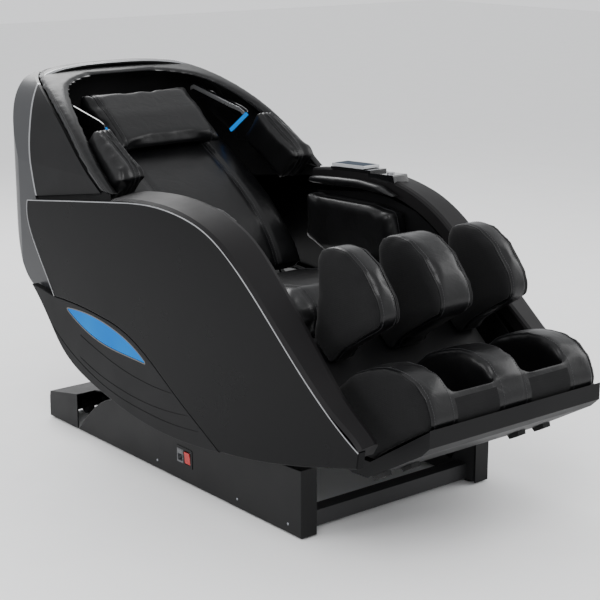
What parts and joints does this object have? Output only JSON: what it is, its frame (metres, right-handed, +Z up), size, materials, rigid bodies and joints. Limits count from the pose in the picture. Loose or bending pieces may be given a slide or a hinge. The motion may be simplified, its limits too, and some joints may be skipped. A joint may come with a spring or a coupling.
{
  "type": "massage chair",
  "caption": "Reclining full body massage chair with a hooded backrest, padded arms, a swinging calf rest and sliding foot wells on a low base.",
  "frame": {"origin": "on the floor, under the middle of the chair's bounding box", "axes": "+Z up, -Y the way the sitter faces, +X to the sitter's left"},
  "size_m": [0.84, 1.8649, 1.1],
  "materials": {
    "leather": "smooth, low sheen",
    "mesh_fabric": "woven, matte",
    "upper_plastic": "satin gloss",
    "lower_plastic": "satin",
    "cap_plastic": "fine grained",
    "shell_plastic": "satin",
    "silver_trim": "metallised satin",
    "black_gloss": "gloss",
    "blue_lens": "diffusing",
    "base_plastic": "grained",
    "steel": "black powder coat",
    "bright_steel": "ground",
    "grey_plastic": "satin",
    "inlet_grey": "satin",
    "red_rocker": "gloss",
    "roller_plastic": "satin",
    "rubber": "matte",
    "motor_metal": "satin"
  },
  "bodies": {
    "base": {"base_cover_right": "base_plastic", "base_cover_left": "base_plastic", "base_frame": "steel", "base_feet": "rubber", "base_tail_cover": "grey_plastic", "power_plate": "silver_trim", "power_inlet": "inlet_grey", "control_box": "black_gloss"},
    "switch": {"power_switch": "red_rocker"},
    "wheels": {"transport_wheels": "rubber"},
    "seat": {"seat_frame": "steel", "seat_pan": "base_plastic", "air_pump": "motor_metal", "side_panel_right": "upper_plastic", "side_panel_left": "upper_plastic", "lower_panel_right": "lower_plastic", "lower_panel_left": "lower_plastic", "lamp_bezels": "black_gloss", "lamp_lenses": "blue_lens", "arm_cap_right": "cap_plastic", "arm_cap_left": "cap_plastic", "arm_trims": "silver_trim", "arm_liners": "lower_plastic", "arm_pads": "leather", "seat_cushion": "leather", "arm_control": "black_gloss"},
    "tilt_tube": {"tilt_actuator": "motor_metal"},
    "tilt_ram": {"tilt_rod": "bright_steel"},
    "recline_tube": {"recline_actuator": "motor_metal"},
    "recline_ram": {"recline_rod": "bright_steel"},
    "leg_tube": {"leg_actuator": "motor_metal"},
    "leg_ram": {"leg_rod": "bright_steel"},
    "back": {"back_frame": "steel", "hood_rim": "leather", "hood_side_right": "lower_plastic", "hood_side_left": "lower_plastic", "hood_trims": "silver_trim", "back_shell": "shell_plastic", "back_cushion": "leather", "head_pillow": "leather", "shoulder_pads": "leather", "speaker_panels": "black_gloss", "hood_lights": "blue_lens"},
    "carriage": {"massage_carriage": "motor_metal"},
    "kneading_arms": {"roller_arms": "bright_steel"},
    "rollers_lower": {"massage_rollers_lower": "roller_plastic"},
    "rollers_upper": {"massage_rollers_upper": "roller_plastic"},
    "legrest": {"leg_frame": "steel", "leg_cover": "base_plastic", "calf_board": "base_plastic", "calf_pad_right": "leather", "calf_pad_middle": "leather", "calf_pad_left": "leather"},
    "footrest": {"foot_pad": "leather", "foot_rods": "bright_steel", "foot_shell": "lower_plastic", "foot_bumpers": "rubber"},
    "sole_roller_shaft": {"sole_rollers": "roller_plastic"},
    "remote_slate": {"remote": "grey_plastic"},
    "button": {"jog_button": "silver_trim"}
  },
  "joints": [
    {"name": "seat_tilt", "type": "hinge", "parent": "base", "child": "seat", "pos_m": [0, 0.4325, 0.185], "axis": [-1, 0, 0], "range_deg": [-3, 10]},
    {"name": "back_recline", "type": "hinge", "parent": "seat", "child": "back", "pos_m": [0, 0.2625, 0.43], "axis": [-1, 0, 0], "range_deg": [-2, 26]},
    {"name": "leg_lift", "type": "hinge", "parent": "seat", "child": "legrest", "pos_m": [0, -0.4175, 0.47], "axis": [-1, 0, 0], "range_deg": [-14, 25]},
    {"name": "foot_extend", "type": "slide", "parent": "legrest", "child": "footrest", "axis": [0, -0.7507, -0.6606], "range_m": [0, 0.12]},
    {"name": "tilt_tube_swing", "type": "hinge", "parent": "base", "child": "tilt_tube", "pos_m": [0, 0.1925, 0.074], "axis": [-1, 0, 0], "range_deg": [-4, 13]},
    {"name": "tilt_ram_stroke", "type": "slide", "parent": "tilt_tube", "child": "tilt_ram", "axis": [0, -0.7335, 0.6797], "range_m": [-0.014, 0.045]},
    {"name": "recline_tube_swing", "type": "hinge", "parent": "seat", "child": "recline_tube", "pos_m": [0, -0.0375, 0.33], "axis": [-1, 0, 0], "range_deg": [-1, 3]},
    {"name": "recline_ram_stroke", "type": "slide", "parent": "recline_tube", "child": "recline_ram", "axis": [0, 0.9959, -0.0905], "range_m": [-0.062, 0.006]},
    {"name": "leg_tube_swing", "type": "hinge", "parent": "seat", "child": "leg_tube", "pos_m": [0, -0.0375, 0.33], "axis": [-1, 0, 0], "range_deg": [-2, 3]},
    {"name": "leg_ram_stroke", "type": "slide", "parent": "leg_tube", "child": "leg_ram", "axis": [0, -0.9999, 0.0105], "range_m": [-0.035, 0.062]},
    {"name": "carriage_travel", "type": "slide", "parent": "back", "child": "carriage", "axis": [0, 0.8904, 0.4551], "range_m": [-0.12, 0.17]},
    {"name": "kneading_swing", "type": "hinge", "parent": "carriage", "child": "kneading_arms", "pos_m": [0, 0.5975, 0.675], "axis": [1, 0, 0], "range_deg": [-4, 4]},
    {"name": "lower_roller_spin", "type": "hinge", "parent": "kneading_arms", "child": "rollers_lower", "pos_m": [0, 0.54012, 0.69059], "axis": [1, 0, 0], "continuous": true},
    {"name": "upper_roller_spin", "type": "hinge", "parent": "kneading_arms", "child": "rollers_upper", "pos_m": [0, 0.61847, 0.73064], "axis": [1, 0, 0], "continuous": true},
    {"name": "sole_roller_spin", "type": "hinge", "parent": "footrest", "child": "sole_roller_shaft", "pos_m": [0, -0.81761, 0.36436], "axis": [1, 0, 0], "continuous": true},
    {"name": "transport_wheel_roll", "type": "hinge", "parent": "base", "child": "wheels", "pos_m": [0, 0.7225, 0.026], "axis": [1, 0, 0], "continuous": true},
    {"name": "switch_rock", "type": "hinge", "parent": "base", "child": "switch", "pos_m": [-0.338, 0.0015, 0.0795], "axis": [0, 1, 0], "range_deg": [0, 8]},
    {"name": "jog_press", "type": "slide", "parent": "seat", "child": "button", "axis": [0, -0.0515, -0.9987], "range_m": [0, 0.002], "stiffness_N_per_m": 400},
    {"name": "remote_lift", "type": "hinge", "parent": "seat", "child": "remote_slate", "pos_m": [0.3425, 0.0076, 0.831], "axis": [1, 0, 0], "range_deg": [0, 60]}
  ],
  "couplings": [
    {"joint": "tilt_tube_swing", "follows": "seat_tilt", "ratio": 1.2},
    {"joint": "tilt_ram_stroke", "follows": "seat_tilt", "m_per_rad": 0.249},
    {"joint": "recline_tube_swing", "follows": "back_recline", "ratio": 0.06},
    {"joint": "recline_ram_stroke", "follows": "back_recline", "m_per_rad": -0.131},
    {"joint": "leg_tube_swing", "follows": "leg_lift", "ratio": 0.05},
    {"joint": "leg_ram_stroke", "follows": "leg_lift", "m_per_rad": 0.134}
  ]
}
